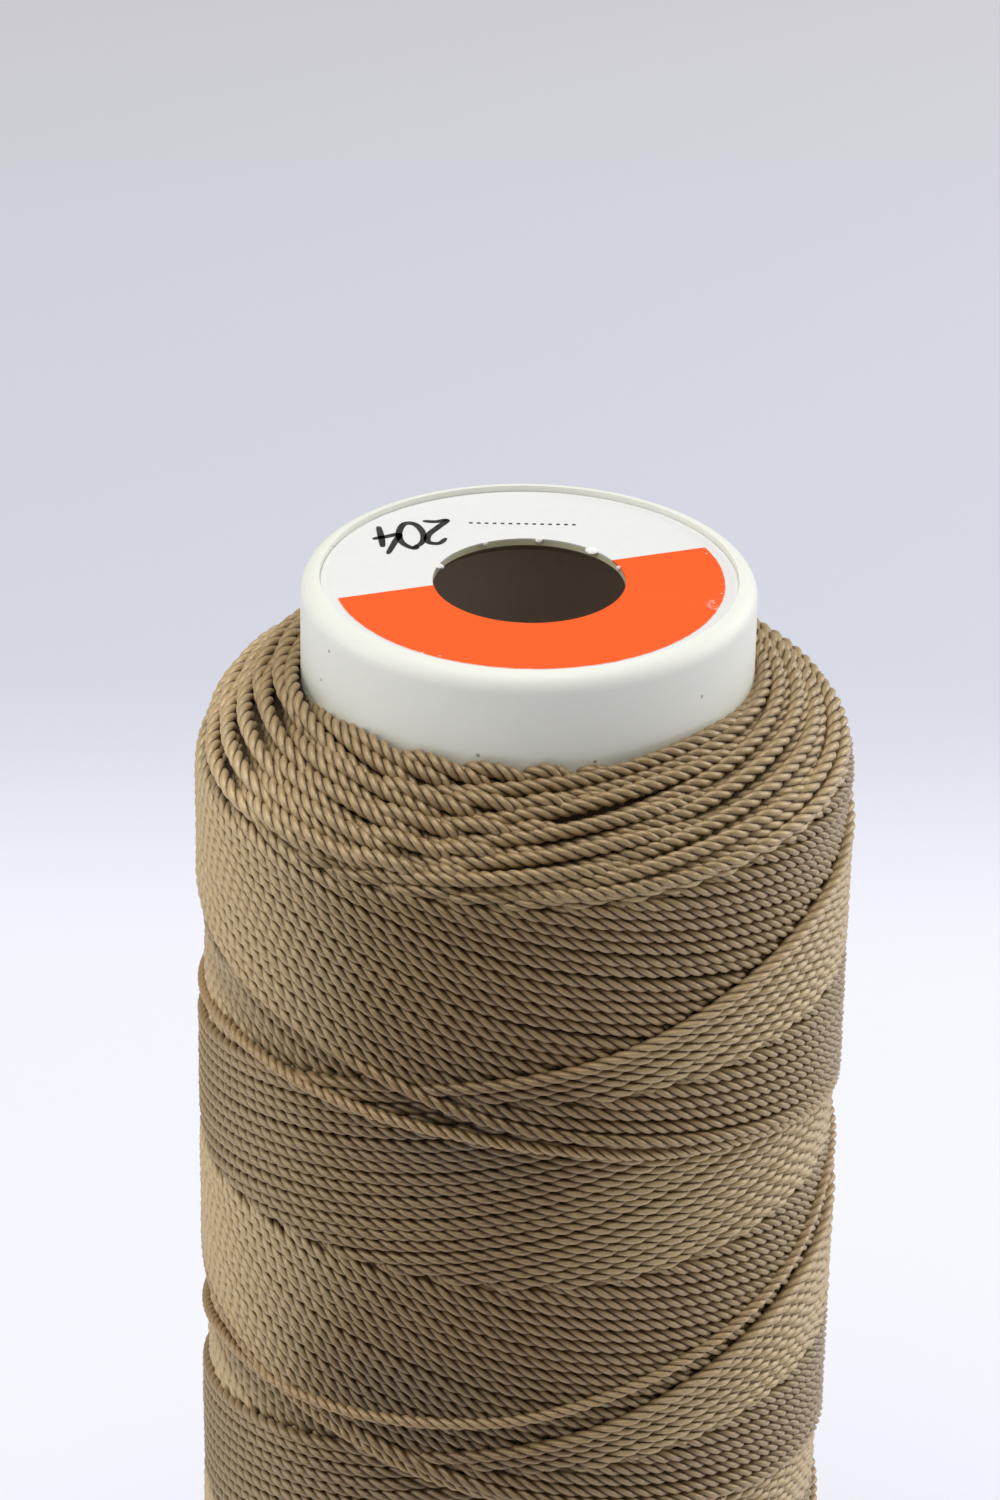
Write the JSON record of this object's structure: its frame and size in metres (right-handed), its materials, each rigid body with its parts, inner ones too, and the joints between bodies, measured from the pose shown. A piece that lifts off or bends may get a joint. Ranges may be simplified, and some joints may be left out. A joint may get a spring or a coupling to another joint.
{
  "type": "waxed thread spool",
  "caption": "Cross-wound spool of waxed sewing thread on a paperboard tube with moulded end caps, a round two-tone label and a through hole for a spindle.",
  "frame": {"origin": "centre of the foot, on the plane that the spool stands on", "axes": "+Z along the axis of the spool, from the foot to the head"},
  "size_m": [0.0516, 0.0516, 0.125],
  "materials": {
    "paperboard": "dark brown paperboard, matt",
    "white_plastic": "satin moulded white plastic",
    "label_paper": "coated paper, white with an orange field",
    "waxed_thread": "three-ply waxed thread, khaki, soft sheen"
  },
  "bodies": {
    "root": {"core_tube": "paperboard", "head_cap": "white_plastic", "foot_cap": "white_plastic", "top_label": "label_paper", "winding_core": "waxed_thread", "outer_turns": "waxed_thread"}
  },
  "joints": []
}
